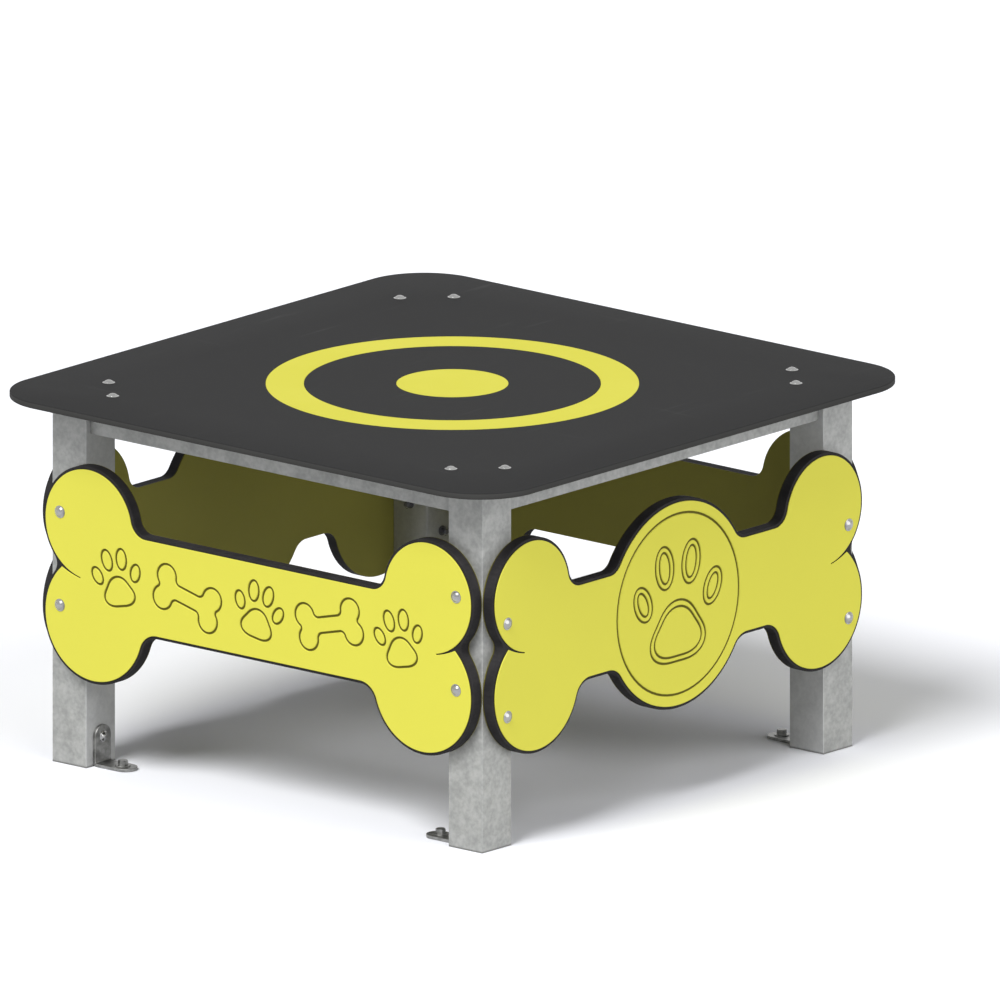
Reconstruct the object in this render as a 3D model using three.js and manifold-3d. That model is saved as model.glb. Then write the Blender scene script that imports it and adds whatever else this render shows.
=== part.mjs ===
// Dog agility table: a square platform on four galvanised posts, with a bone-shaped panel on each side.
// Millimetres, +Z up. The origin is on the ground, under the centre of the platform.
import * as THREE from "three";
import { mergeVertices } from "three/addons/utils/BufferGeometryUtils.js";
import Module from "manifold-3d";

const wasm = await Module();
wasm.setup();

// Platform
const TABLE_HEIGHT = 600;
const PLATE_OVERHANG = 78.5;
const PLATE_THICKNESS = 10;
const PLATE_CORNER_RADIUS = 106;

// Target let into the platform
const RING_OUTER_RADIUS = 293;
const RING_WIDTH = 60;
const DISC_RADIUS = 88;
const INLAY_THICKNESS = 3;

// Frame: square tube posts, and rails of equal angle between them
const FRAME_WIDTH = 890;
const POST_SIZE = 70;
const POST_WALL = 3;
const POST_CORNER_RADIUS = 1.2;
const RAIL_LEG = 50;
const RAIL_WALL = 4;
const RAIL_SETBACK = 10;

// Panels: three-layer plastic sheet, cut to the outline of a bone
const PANEL_BOTTOM = 146;
const PANEL_HEIGHT = 350;
const CORE_THICKNESS = 18;
const SKIN_THICKNESS = 2;
const BORDER_WIDTH = 5;
const BAR_HEIGHT = 162;
const UPPER_LOBE_RADIUS = 94;
const LOWER_LOBE_RADIUS = 105;
const UPPER_FILLET_RADIUS = 26;
const LOWER_FILLET_RADIUS = 31;
const NOTCH_FILLET_RADIUS = 20;
const MEDALLION_SETBACK = 6;
const CREASE_LENGTH = 37;
const CREASE_WIDTH = 3;

// Bolt places: over or under the middle of a panel's lobe, and along a rail from the post
const PLAIN_BOLT_OVER_LOBE = 12;
const MEDALLION_BOLT_UNDER_LOBE = 33;
const PLATE_BOLT_FROM_POST = 25;

// Dome-headed bolt with washer and nut
const SHANK_DIAMETER = 8;
const DOME_DIAMETER = 20;
const DOME_HEIGHT = 5;
const WASHER_DIAMETER = 16;
const WASHER_THICKNESS = 1.6;
const NUT_ACROSS_CORNERS = 15;
const NUT_HEIGHT = 6.5;
const THREAD_END = 3;

// Foot bracket: flat bar bent to a right angle, with round ends, and its two bolts
const BRACKET_WIDTH = 38;
const BRACKET_THICKNESS = 5;
const BRACKET_HEIGHT = 65;
const BRACKET_REACH = 70;
const BRACKET_BOLT_HEIGHT = 46;
const BRACKET_DOME_DIAMETER = 18;
const ANCHOR_REACH = 46;
const ANCHOR_HEAD_ACROSS_CORNERS = 16;
const ANCHOR_HEAD_HEIGHT = 8;
const ANCHOR_WASHER_DIAMETER = 24;
const ANCHOR_SHANK_DIAMETER = 8;

// Room left around shanks and inlays, and between bolted pieces
const FIT_GAP = 0.3;
// How far a cutting shape runs past the face that it cuts
const CUT_OVERRUN = 2;

// Fineness of round shapes
const CHORD_ERROR = 0.8;
const RING_SIDES = 44;
const DOME_SIDES = 8;
const DOME_RINGS = 2;
const SHANK_SIDES = 6;
const HEX_SIDES = 6;

// Worked out from the above
const HALF_TURN = Math.PI;
const QUARTER_TURN = Math.PI / 2;
const plateSize = FRAME_WIDTH + 2 * PLATE_OVERHANG;
const plateUnderside = TABLE_HEIGHT - PLATE_THICKNESS;
const ringInnerRadius = RING_OUTER_RADIUS - RING_WIDTH;
const frameHalf = FRAME_WIDTH / 2;
const postCentre = frameHalf - POST_SIZE / 2;
const postInnerFace = frameHalf - POST_SIZE;
const railOuterFace = frameHalf - RAIL_SETBACK;
const railCentre = railOuterFace - RAIL_LEG / 2;
const plateBoltAlong = postInnerFace - PLATE_BOLT_FROM_POST;
const panelThickness = CORE_THICKNESS + 2 * SKIN_THICKNESS;
const panelBackFace = frameHalf + FIT_GAP;
const coreBackFace = panelBackFace + SKIN_THICKNESS;
const coreFrontFace = coreBackFace + CORE_THICKNESS;
const panelFrontFace = panelBackFace + panelThickness;
const upperLobeHeight = PANEL_HEIGHT - UPPER_LOBE_RADIUS;
const medallionRadius = PANEL_HEIGHT / 2 - MEDALLION_SETBACK;
const plainBoltHeights = [LOWER_LOBE_RADIUS, upperLobeHeight].map((height) => height + PLAIN_BOLT_OVER_LOBE);
const medallionBoltHeights = [LOWER_LOBE_RADIUS, upperLobeHeight].map(
  (height) => height - MEDALLION_BOLT_UNDER_LOBE,
);

const plateGrey = new THREE.MeshStandardMaterial({ color: 0x444444, roughness: 0.6, metalness: 0 });
const sheetYellow = new THREE.MeshStandardMaterial({ color: 0xe6e05a, roughness: 0.45, metalness: 0 });
const coreBlack = new THREE.MeshStandardMaterial({ color: 0x1c1b1d, roughness: 0.5, metalness: 0 });
const galvanised = new THREE.MeshStandardMaterial({ color: 0xa5a7a6, roughness: 0.5, metalness: 0.8 });
const zincBright = new THREE.MeshStandardMaterial({ color: 0xc9c9c9, roughness: 0.25, metalness: 0.9 });

// A closed geometry as a solid that can be joined and cut.
function solidOf(geometry) {
  const bare = geometry.index ? geometry.toNonIndexed() : geometry.clone();
  bare.deleteAttribute("normal");
  bare.deleteAttribute("uv");
  const merged = mergeVertices(bare);
  return new wasm.Manifold(
    new wasm.Mesh({
      numProp: 3,
      vertProperties: merged.attributes.position.array,
      triVerts: new Uint32Array(merged.index.array),
    }),
  );
}

// A solid as a geometry that a mesh can show.
function geometryOf(solid) {
  const { vertProperties, triVerts } = solid.getMesh();
  const geometry = new THREE.BufferGeometry();
  geometry.setAttribute("position", new THREE.BufferAttribute(vertProperties, 3));
  geometry.setIndex(new THREE.BufferAttribute(triVerts, 1));
  geometry.computeVertexNormals();
  return geometry;
}

function meshOf(name, geometry, material) {
  const mesh = new THREE.Mesh(geometry, material);
  mesh.name = name;
  return mesh;
}

// How many straight steps keep an arc within the chord error.
function arcSteps(radius, sweep) {
  const widest = 2 * Math.acos(Math.max(1 - CHORD_ERROR / radius, 0));
  return Math.max(1, Math.ceil(Math.abs(sweep) / widest));
}

// Points along an arc, from one angle to the other, both ends included.
function arcPoints(x, y, radius, from, to) {
  const steps = arcSteps(radius, to - from);
  const points = [];
  for (let i = 0; i <= steps; i++) {
    const angle = from + ((to - from) * i) / steps;
    points.push(new THREE.Vector2(x + radius * Math.cos(angle), y + radius * Math.sin(angle)));
  }
  return points;
}

// A sheet of the given outline between two heights. Its faces are set to these heights, so sheets that
// share a face meet without a gap.
function sheet(shape, bottom, top) {
  const geometry = new THREE.ExtrudeGeometry(shape, { depth: 1, bevelEnabled: false });
  const position = geometry.attributes.position;
  for (let i = 0; i < position.count; i++) position.setZ(i, position.getZ(i) > 0.5 ? top : bottom);
  return geometry;
}

// A rectangle with round corners, centred on the origin.
function roundedRectangle(width, height, radius) {
  const x = width / 2 - radius;
  const y = height / 2 - radius;
  return [
    ...arcPoints(x, y, radius, 0, QUARTER_TURN),
    ...arcPoints(-x, y, radius, QUARTER_TURN, HALF_TURN),
    ...arcPoints(-x, -y, radius, HALF_TURN, HALF_TURN + QUARTER_TURN),
    ...arcPoints(x, -y, radius, -QUARTER_TURN, 0),
  ];
}

// The corner radius of the many-sided hole whose flats clear a round shank.
function holeRadius(shankDiameter) {
  return (shankDiameter / 2 + FIT_GAP) / Math.cos(Math.PI / SHANK_SIDES);
}

function holePoints(x, y, shankDiameter) {
  const radius = holeRadius(shankDiameter);
  const points = [];
  for (let i = 0; i < SHANK_SIDES; i++) {
    const angle = (2 * Math.PI * i) / SHANK_SIDES;
    points.push(new THREE.Vector2(x + radius * Math.cos(angle), y + radius * Math.sin(angle)));
  }
  return points;
}

// An upright prism on a regular polygon that has a corner on the X axis.
function uprightPrism(radius, sides, bottom, top) {
  const geometry = new THREE.CylinderGeometry(radius, radius, top - bottom, sides);
  geometry.rotateY(QUARTER_TURN);
  geometry.rotateX(QUARTER_TURN);
  geometry.translate(0, 0, (top + bottom) / 2);
  return geometry;
}

function uprightDrill(x, y, shankDiameter, bottom, top) {
  return solidOf(uprightPrism(holeRadius(shankDiameter), SHANK_SIDES, bottom, top).translate(x, y, 0));
}

// Platform: the plate with its bolt holes, routed out for the ring and the disc.
function plateGeometry() {
  const shape = new THREE.Shape(roundedRectangle(plateSize, plateSize, PLATE_CORNER_RADIUS));
  for (const along of [-plateBoltAlong, plateBoltAlong]) {
    for (const out of [-railCentre, railCentre]) {
      shape.holes.push(new THREE.Path(holePoints(along, out, SHANK_DIAMETER)));
      shape.holes.push(new THREE.Path(holePoints(out, along, SHANK_DIAMETER)));
    }
  }
  const pocketFloor = PLATE_THICKNESS - INLAY_THICKNESS;
  const pocketTop = PLATE_THICKNESS + CUT_OVERRUN;
  const ringPocket = sheet(
    ringShape(RING_OUTER_RADIUS + FIT_GAP, ringInnerRadius - FIT_GAP),
    pocketFloor,
    pocketTop,
  );
  const discPocket = sheet(discShape(DISC_RADIUS + FIT_GAP), pocketFloor, pocketTop);
  return geometryOf(
    solidOf(sheet(shape, 0, PLATE_THICKNESS)).subtract(solidOf(ringPocket)).subtract(solidOf(discPocket)),
  );
}

function circlePoints(radius) {
  const points = [];
  for (let i = 0; i < RING_SIDES; i++) {
    const angle = (2 * Math.PI * i) / RING_SIDES;
    points.push(new THREE.Vector2(radius * Math.cos(angle), radius * Math.sin(angle)));
  }
  return points;
}

function discShape(radius) {
  return new THREE.Shape(circlePoints(radius));
}

function ringShape(outer, inner) {
  const shape = discShape(outer);
  shape.holes.push(new THREE.Path(circlePoints(inner)));
  return shape;
}

function platform() {
  const group = new THREE.Group();
  group.position.z = plateUnderside;
  const pocketFloor = PLATE_THICKNESS - INLAY_THICKNESS;
  const ring = sheet(ringShape(RING_OUTER_RADIUS, ringInnerRadius), pocketFloor, PLATE_THICKNESS);
  const disc = sheet(discShape(DISC_RADIUS), pocketFloor, PLATE_THICKNESS);
  group.add(
    meshOf("top_plate", plateGeometry(), plateGrey),
    meshOf("target_ring", ring, sheetYellow),
    meshOf("target_disc", disc, sheetYellow),
  );
  return group;
}

// Where two circles cross, on the right-hand side of the way from centre A to centre B. Circles that don't
// meet give a point between them.
function crossing(centreA, radiusA, centreB, radiusB) {
  const between = centreB.clone().sub(centreA);
  const distance = between.length();
  const along = (distance ** 2 + radiusA ** 2 - radiusB ** 2) / (2 * distance);
  const aside = Math.sqrt(Math.max(radiusA ** 2 - along ** 2, 0));
  const direction = between.divideScalar(distance);
  return new THREE.Vector2(
    centreA.x + direction.x * along + direction.y * aside,
    centreA.y + direction.y * along - direction.x * aside,
  );
}

function angleFrom(centre, point) {
  return Math.atan2(point.y - centre.y, point.x - centre.x);
}

// The centre of the fillet between a level edge of the bar and a round part of the panel.
// side is 1 where the fillet lies towards greater x from the round part, and -1 where it lies the other way.
function filletCentre(round, edge, filletRadius, side) {
  const y = edge + Math.sign(edge) * filletRadius;
  const reach = Math.sqrt((round.radius + filletRadius) ** 2 - (round.centre.y - y) ** 2);
  return new THREE.Vector2(round.centre.x + side * reach, y);
}

// The centres of the two fillets where the bar's edge runs from the medallion to a lobe. Where there is no
// room for both on the bar, one fillet joins the medallion to the lobe.
function filletPair(medallion, lobe, edge, filletRadius) {
  const inner = filletCentre(medallion, edge, filletRadius, 1);
  const outer = filletCentre(lobe, edge, filletRadius, -1);
  if (inner.x <= outer.x) return [inner, outer];
  const [first, second] = edge < 0 ? [medallion, lobe] : [lobe, medallion];
  const reaches = [first.radius + filletRadius, second.radius + filletRadius];
  const shared = crossing(first.centre, reaches[0], second.centre, reaches[1]);
  return [shared, shared];
}

// The right half of a panel's outline, from the middle of its lower edge round to that of its upper edge.
// inset moves the whole outline inwards. The notch between the lobes has a fillet, or, where the outline is
// creased, the cut that carries on the upper lobe's round.
function halfOutline({ medallion, inset, creased }) {
  const barHalf = BAR_HEIGHT / 2 - inset;
  const upperFillet = UPPER_FILLET_RADIUS + inset;
  const lowerFillet = LOWER_FILLET_RADIUS + inset;
  const upper = {
    centre: new THREE.Vector2(frameHalf - UPPER_LOBE_RADIUS, PANEL_HEIGHT / 2 - UPPER_LOBE_RADIUS),
    radius: UPPER_LOBE_RADIUS - inset,
  };
  const lower = {
    centre: new THREE.Vector2(frameHalf - LOWER_LOBE_RADIUS, LOWER_LOBE_RADIUS - PANEL_HEIGHT / 2),
    radius: LOWER_LOBE_RADIUS - inset,
  };
  const middle = { centre: new THREE.Vector2(0, 0), radius: medallionRadius - inset };
  const points = [];

  let lowerCorner = filletCentre(lower, -barHalf, lowerFillet, -1);
  if (medallion) {
    const [inner, outer] = filletPair(middle, lower, -barHalf, lowerFillet);
    const towards = angleFrom(middle.centre, inner);
    points.push(...arcPoints(0, 0, middle.radius, -QUARTER_TURN, towards));
    points.push(...arcPoints(inner.x, inner.y, lowerFillet, towards + HALF_TURN, QUARTER_TURN).slice(1));
    if (inner === outer) points.pop();
    lowerCorner = outer;
  }
  const lowerStart = angleFrom(lowerCorner, lower.centre);
  points.push(...arcPoints(lowerCorner.x, lowerCorner.y, lowerFillet, QUARTER_TURN, lowerStart));

  const { x: lowerX, y: lowerY } = lower.centre;
  const { x: upperX, y: upperY } = upper.centre;
  const notch = crossing(lower.centre, lower.radius, upper.centre, upper.radius);
  const hollowRadius = NOTCH_FILLET_RADIUS + inset;
  const hollowReaches = [lower.radius + hollowRadius, upper.radius + hollowRadius];
  const hollow = crossing(lower.centre, hollowReaches[0], upper.centre, hollowReaches[1]);
  const creaseRadius = upper.radius + CREASE_WIDTH;
  const lowerEnd = creased ? crossing(lower.centre, lower.radius, upper.centre, creaseRadius) : hollow;
  const lowerSweep = [lowerStart - HALF_TURN, angleFrom(lower.centre, lowerEnd)];
  points.push(...arcPoints(lowerX, lowerY, lower.radius, ...lowerSweep).slice(1));

  const creaseAngle = CREASE_LENGTH / upper.radius;
  const upperStart = creased ? angleFrom(upper.centre, notch) - creaseAngle : angleFrom(upper.centre, hollow);
  if (creased) {
    const mouth = angleFrom(upper.centre, lowerEnd);
    const steps = arcSteps(creaseRadius, mouth - upperStart);
    for (let i = 1; i < steps; i++) {
      const angle = mouth + ((upperStart - mouth) * i) / steps;
      const radius = creaseRadius - (CREASE_WIDTH * i) / steps;
      points.push(new THREE.Vector2(upperX + radius * Math.cos(angle), upperY + radius * Math.sin(angle)));
    }
  } else {
    const hollowSweep = [angleFrom(hollow, lower.centre) + 2 * HALF_TURN, angleFrom(hollow, upper.centre)];
    points.push(...arcPoints(hollow.x, hollow.y, hollowRadius, ...hollowSweep).slice(1));
  }

  let upperCorner = filletCentre(upper, barHalf, upperFillet, -1);
  let innerCorner = null;
  if (medallion) [innerCorner, upperCorner] = filletPair(middle, upper, barHalf, upperFillet);
  const upperEnd = angleFrom(upperCorner, upper.centre);
  const upperSweep = arcPoints(upperX, upperY, upper.radius, upperStart, upperEnd + HALF_TURN);
  points.push(...(creased ? upperSweep : upperSweep.slice(1)));
  points.push(...arcPoints(upperCorner.x, upperCorner.y, upperFillet, upperEnd, -QUARTER_TURN).slice(1));
  if (medallion) {
    if (innerCorner === upperCorner) points.pop();
    const towards = angleFrom(middle.centre, innerCorner);
    points.push(...arcPoints(innerCorner.x, innerCorner.y, upperFillet, -QUARTER_TURN, towards - HALF_TURN));
    points.push(...arcPoints(0, 0, middle.radius, towards, QUARTER_TURN).slice(1));
  }
  return points;
}

function panelShape({ medallion, inset, creased, boltHeights }) {
  const right = halfOutline({ medallion, inset, creased });
  const left = right
    .filter((point) => point.x > FIT_GAP)
    .map((point) => new THREE.Vector2(-point.x, point.y))
    .reverse();
  const shape = new THREE.Shape([...right, ...left]);
  for (const x of [-postCentre, postCentre]) {
    for (const height of boltHeights) {
      shape.holes.push(new THREE.Path(holePoints(x, height - PANEL_HEIGHT / 2, SHANK_DIAMETER)));
    }
  }
  return shape;
}

// The three layers of a panel, as they stand on the side of the table that faces -Y.
function panel(side, medallion, boltHeights) {
  const outline = panelShape({ medallion, inset: 0, creased: false, boltHeights });
  const face = panelShape({ medallion, inset: BORDER_WIDTH, creased: true, boltHeights });
  const group = new THREE.Group();
  group.position.z = PANEL_BOTTOM + PANEL_HEIGHT / 2;
  group.rotation.x = QUARTER_TURN;
  group.add(
    meshOf(side + "_panel_inner_skin", sheet(outline, panelBackFace, coreBackFace), sheetYellow),
    meshOf(side + "_panel_core", sheet(outline, coreBackFace, coreFrontFace), coreBlack),
    meshOf(side + "_panel_outer_skin", sheet(face, coreFrontFace, panelFrontFace), sheetYellow),
  );
  return group;
}

// A bolt that points up, with its seat at zero: a domed head, and a washer and nut that grip the given
// thickness.
function boltGeometry(grip, domeDiameter) {
  const radius = domeDiameter / 2;
  const profile = [new THREE.Vector2(0, 0), new THREE.Vector2(radius, 0)];
  for (let i = 1; i <= DOME_RINGS; i++) {
    const angle = (QUARTER_TURN * i) / (DOME_RINGS + 1);
    profile.push(new THREE.Vector2(radius * Math.cos(angle), DOME_HEIGHT * Math.sin(angle)));
  }
  profile.push(new THREE.Vector2(0, DOME_HEIGHT));
  const head = new THREE.LatheGeometry(profile, DOME_SIDES).rotateX(QUARTER_TURN);
  const washerSeat = -grip;
  const nutSeat = washerSeat - WASHER_THICKNESS;
  const nutEnd = nutSeat - NUT_HEIGHT;
  const shank = uprightPrism(SHANK_DIAMETER / 2, SHANK_SIDES, nutEnd - THREAD_END, DOME_HEIGHT / 2);
  const washer = uprightPrism(WASHER_DIAMETER / 2, DOME_SIDES, nutSeat, washerSeat);
  const nut = uprightPrism(NUT_ACROSS_CORNERS / 2, HEX_SIDES, nutEnd, nutSeat);
  return geometryOf(solidOf(head).add(solidOf(shank)).add(solidOf(washer)).add(solidOf(nut)));
}

// The rail between two posts, as it lies on the side of the table that faces -Y.
function railGeometry() {
  const section = new THREE.Shape([
    new THREE.Vector2(0, 0),
    new THREE.Vector2(0, -RAIL_LEG),
    new THREE.Vector2(RAIL_WALL, -RAIL_LEG),
    new THREE.Vector2(RAIL_WALL, -RAIL_WALL),
    new THREE.Vector2(RAIL_LEG, -RAIL_WALL),
    new THREE.Vector2(RAIL_LEG, 0),
  ]);
  const halfLength = postInnerFace - FIT_GAP;
  const angle = sheet(section, -halfLength, halfLength).rotateX(QUARTER_TURN).rotateZ(QUARTER_TURN);
  let rail = solidOf(angle);
  for (const x of [-plateBoltAlong, plateBoltAlong]) {
    const drill = uprightDrill(x, RAIL_LEG / 2, SHANK_DIAMETER, -RAIL_WALL - CUT_OVERRUN, CUT_OVERRUN);
    rail = rail.subtract(drill);
  }
  return geometryOf(rail);
}

// A post with the holes for its panel bolts along Y and along X, and one in its -X wall for the foot bracket.
function postGeometry() {
  const shape = new THREE.Shape(roundedRectangle(POST_SIZE, POST_SIZE, POST_CORNER_RADIUS));
  const bore = POST_SIZE - 2 * POST_WALL;
  const boreRadius = Math.max(POST_CORNER_RADIUS - POST_WALL, POST_WALL / 2);
  shape.holes.push(new THREE.Path(roundedRectangle(bore, bore, boreRadius)));
  const across = POST_SIZE / 2 + CUT_OVERRUN;
  const drillThrough = uprightPrism(holeRadius(SHANK_DIAMETER), SHANK_SIDES, -across, across);
  let post = solidOf(sheet(shape, 0, plateUnderside));
  for (const height of plainBoltHeights) {
    post = post.subtract(
      solidOf(drillThrough.clone().rotateX(QUARTER_TURN).translate(0, 0, PANEL_BOTTOM + height)),
    );
  }
  for (const height of medallionBoltHeights) {
    post = post.subtract(
      solidOf(drillThrough.clone().rotateY(QUARTER_TURN).translate(0, 0, PANEL_BOTTOM + height)),
    );
  }
  const drillOneWall = uprightPrism(holeRadius(SHANK_DIAMETER), SHANK_SIDES, -across, 0);
  post = post.subtract(solidOf(drillOneWall.rotateY(QUARTER_TURN).translate(0, 0, BRACKET_BOLT_HEIGHT)));
  return geometryOf(post);
}

// A leg of the bracket: a strip with one square end at zero and one round end.
function stripPoints(length) {
  const half = BRACKET_WIDTH / 2;
  return [
    new THREE.Vector2(0, -half),
    ...arcPoints(length - half, 0, half, -QUARTER_TURN, QUARTER_TURN),
    new THREE.Vector2(0, half),
  ];
}

// The foot bracket, with its upright leg's back at x = 0 and its foot pointing to -X.
function bracketGeometry() {
  const upright = sheet(new THREE.Shape(stripPoints(BRACKET_HEIGHT)), 0, BRACKET_THICKNESS);
  upright.rotateY(-QUARTER_TURN);
  const foot = sheet(new THREE.Shape(stripPoints(BRACKET_REACH)), 0, BRACKET_THICKNESS);
  foot.rotateZ(HALF_TURN);
  const boltHole = uprightPrism(
    holeRadius(SHANK_DIAMETER),
    SHANK_SIDES,
    -BRACKET_THICKNESS - CUT_OVERRUN,
    CUT_OVERRUN,
  );
  boltHole.rotateY(QUARTER_TURN).translate(0, 0, BRACKET_BOLT_HEIGHT);
  const anchorTop = BRACKET_THICKNESS + CUT_OVERRUN;
  const anchorHole = uprightDrill(-ANCHOR_REACH, 0, ANCHOR_SHANK_DIAMETER, -CUT_OVERRUN, anchorTop);
  return geometryOf(solidOf(upright).add(solidOf(foot)).subtract(solidOf(boltHole)).subtract(anchorHole));
}

// The head of the anchor bolt with its washer, seated at zero, and its shank down to the ground.
function anchorGeometry() {
  const washer = uprightPrism(ANCHOR_WASHER_DIAMETER / 2, DOME_SIDES, 0, WASHER_THICKNESS);
  const headTop = WASHER_THICKNESS + ANCHOR_HEAD_HEIGHT;
  const head = uprightPrism(ANCHOR_HEAD_ACROSS_CORNERS / 2, HEX_SIDES, WASHER_THICKNESS, headTop);
  const shankEnd = FIT_GAP - BRACKET_THICKNESS;
  const shank = uprightPrism(ANCHOR_SHANK_DIAMETER / 2, SHANK_SIDES, shankEnd, WASHER_THICKNESS);
  return geometryOf(solidOf(washer).add(solidOf(head)).add(solidOf(shank)));
}

const table = new THREE.Group();
table.add(platform());

// The four sides, each built facing -Y and turned to its place: a panel, a rail and their bolts.
const SIDES = ["front", "right", "back", "left"];
const panelGrip = panelThickness + POST_SIZE + 2 * FIT_GAP;
const panelBolt = boltGeometry(panelGrip, DOME_DIAMETER);
const plateBolt = boltGeometry(PLATE_THICKNESS + RAIL_WALL, DOME_DIAMETER);
const rail = railGeometry();
SIDES.forEach((side, index) => {
  const medallion = index % 2 === 1;
  const boltHeights = medallion ? medallionBoltHeights : plainBoltHeights;
  const group = new THREE.Group();
  group.rotation.z = index * QUARTER_TURN;
  group.add(panel(side, medallion, boltHeights));

  const railMesh = meshOf("rail_" + side, rail, galvanised);
  railMesh.position.set(0, -railOuterFace, plateUnderside);
  group.add(railMesh);

  for (const [end, sign] of [["left", -1], ["right", 1]]) {
    boltHeights.forEach((height, row) => {
      const level = row === 0 ? "lower" : "upper";
      const bolt = meshOf([side, "panel_bolt", level, end].join("_"), panelBolt, zincBright);
      bolt.rotation.x = QUARTER_TURN;
      bolt.position.set(sign * postCentre, -panelFrontFace, PANEL_BOTTOM + height);
      group.add(bolt);
    });
    const bolt = meshOf(["plate_bolt", side, end].join("_"), plateBolt, zincBright);
    bolt.position.set(sign * plateBoltAlong, -railCentre, TABLE_HEIGHT);
    group.add(bolt);
  }
  table.add(group);
});

// The four corners: a post with its foot bracket and the two bolts of the bracket.
const CORNERS = [
  ["front_left", -1, -1],
  ["front_right", 1, -1],
  ["back_right", 1, 1],
  ["back_left", -1, 1],
];
const post = postGeometry();
const bracket = bracketGeometry();
const bracketBolt = boltGeometry(BRACKET_THICKNESS + POST_WALL + 2 * FIT_GAP, BRACKET_DOME_DIAMETER);
const anchorBolt = anchorGeometry();
for (const [corner, xSign, ySign] of CORNERS) {
  const group = new THREE.Group();
  group.position.set(xSign * postCentre, ySign * postCentre, 0);
  group.rotation.z = xSign > 0 ? 0 : HALF_TURN;
  group.add(meshOf("post_" + corner, post, galvanised));

  const bracketBack = -POST_SIZE / 2 - FIT_GAP;
  const bracketMesh = meshOf("foot_bracket_" + corner, bracket, galvanised);
  bracketMesh.position.x = bracketBack;
  const boltMesh = meshOf("bracket_bolt_" + corner, bracketBolt, zincBright);
  boltMesh.rotation.y = -QUARTER_TURN;
  boltMesh.position.set(bracketBack - BRACKET_THICKNESS, 0, BRACKET_BOLT_HEIGHT);
  const anchorMesh = meshOf("anchor_bolt_" + corner, anchorBolt, zincBright);
  anchorMesh.position.set(bracketBack - ANCHOR_REACH, 0, BRACKET_THICKNESS);
  group.add(bracketMesh, boltMesh, anchorMesh);
  table.add(group);
}

export default table;
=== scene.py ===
import math
from cmath import phase, rect

import bmesh
import bpy
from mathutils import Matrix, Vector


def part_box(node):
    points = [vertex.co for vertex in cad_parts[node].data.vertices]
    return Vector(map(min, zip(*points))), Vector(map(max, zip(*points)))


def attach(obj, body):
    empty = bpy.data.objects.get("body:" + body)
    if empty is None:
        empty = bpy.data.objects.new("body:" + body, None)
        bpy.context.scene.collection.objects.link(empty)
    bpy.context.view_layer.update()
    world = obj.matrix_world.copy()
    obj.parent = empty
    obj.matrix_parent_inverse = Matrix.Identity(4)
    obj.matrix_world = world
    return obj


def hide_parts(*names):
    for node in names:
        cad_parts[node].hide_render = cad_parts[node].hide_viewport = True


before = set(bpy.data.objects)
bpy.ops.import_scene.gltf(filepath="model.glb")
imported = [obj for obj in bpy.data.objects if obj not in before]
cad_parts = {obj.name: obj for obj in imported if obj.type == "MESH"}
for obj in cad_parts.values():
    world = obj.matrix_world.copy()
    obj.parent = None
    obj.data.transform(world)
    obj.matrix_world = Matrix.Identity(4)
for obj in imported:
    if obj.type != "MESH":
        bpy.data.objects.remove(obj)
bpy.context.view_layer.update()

# The camera: a lens without perspective, a little above the platform. It looks at the corner between the
# plain panel at the front and the medallion panel on the right.
CAMERA_AZIMUTH = math.radians(40.73)
CAMERA_ELEVATION = math.radians(14.48)
CAMERA_DISTANCE = 6.0
VIEW_WIDTH = 1.5686
VIEW_RIGHT_OF_CENTRE = 0.07467
VIEW_UNDER_TOP = 0.18337
VIEW_DEPTH = 24.0

table_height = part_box("target_disc")[1].z
sin_az, cos_az = math.sin(CAMERA_AZIMUTH), math.cos(CAMERA_AZIMUTH)
sin_el, cos_el = math.sin(CAMERA_ELEVATION), math.cos(CAMERA_ELEVATION)
view_right = (cos_az, sin_az, 0)
view_up = (-sin_az * sin_el, cos_az * sin_el, cos_el)
view_back = (sin_az * cos_el, -cos_az * cos_el, sin_el)
camera_place = [
    middle + VIEW_RIGHT_OF_CENTRE * right - VIEW_UNDER_TOP * up + CAMERA_DISTANCE * back
    for middle, right, up, back in zip((0, 0, table_height), view_right, view_up, view_back)
]
bpy.ops.object.camera_add(location=camera_place, rotation=(math.pi / 2 - CAMERA_ELEVATION, 0, CAMERA_AZIMUTH))
camera = bpy.context.object
camera.data.type = "ORTHO"
camera.data.ortho_scale = VIEW_WIDTH
camera.data.clip_end = VIEW_DEPTH
bpy.context.scene.camera = camera
bpy.context.scene.view_settings.view_transform = "Standard"


# The studio: a pale floor in an even white room, a soft high lamp in front of the table, so that the shadow
# falls behind it, and a wide low one on its right. Floor and room are shown white.
ROOM_LEVEL = 0.26
LAMPS = {
    "lamp_in_front": {"level": 0.96, "tilt": 38, "turn": 4, "spread": 30},
    "lamp_on_the_right": {"level": 0.54, "tilt": 65, "turn": 90, "spread": 70},
}
FLOOR_SIDE = 60
FLOOR_DROP = 0.0004
FLOOR_PALE = (0.35, 0.35, 0.35, 1)
FLOOR_SHOWN = (0.94, 0.95, 0.99, 1)
ROOM_WHITE = (1, 1, 1, 1)


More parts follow.
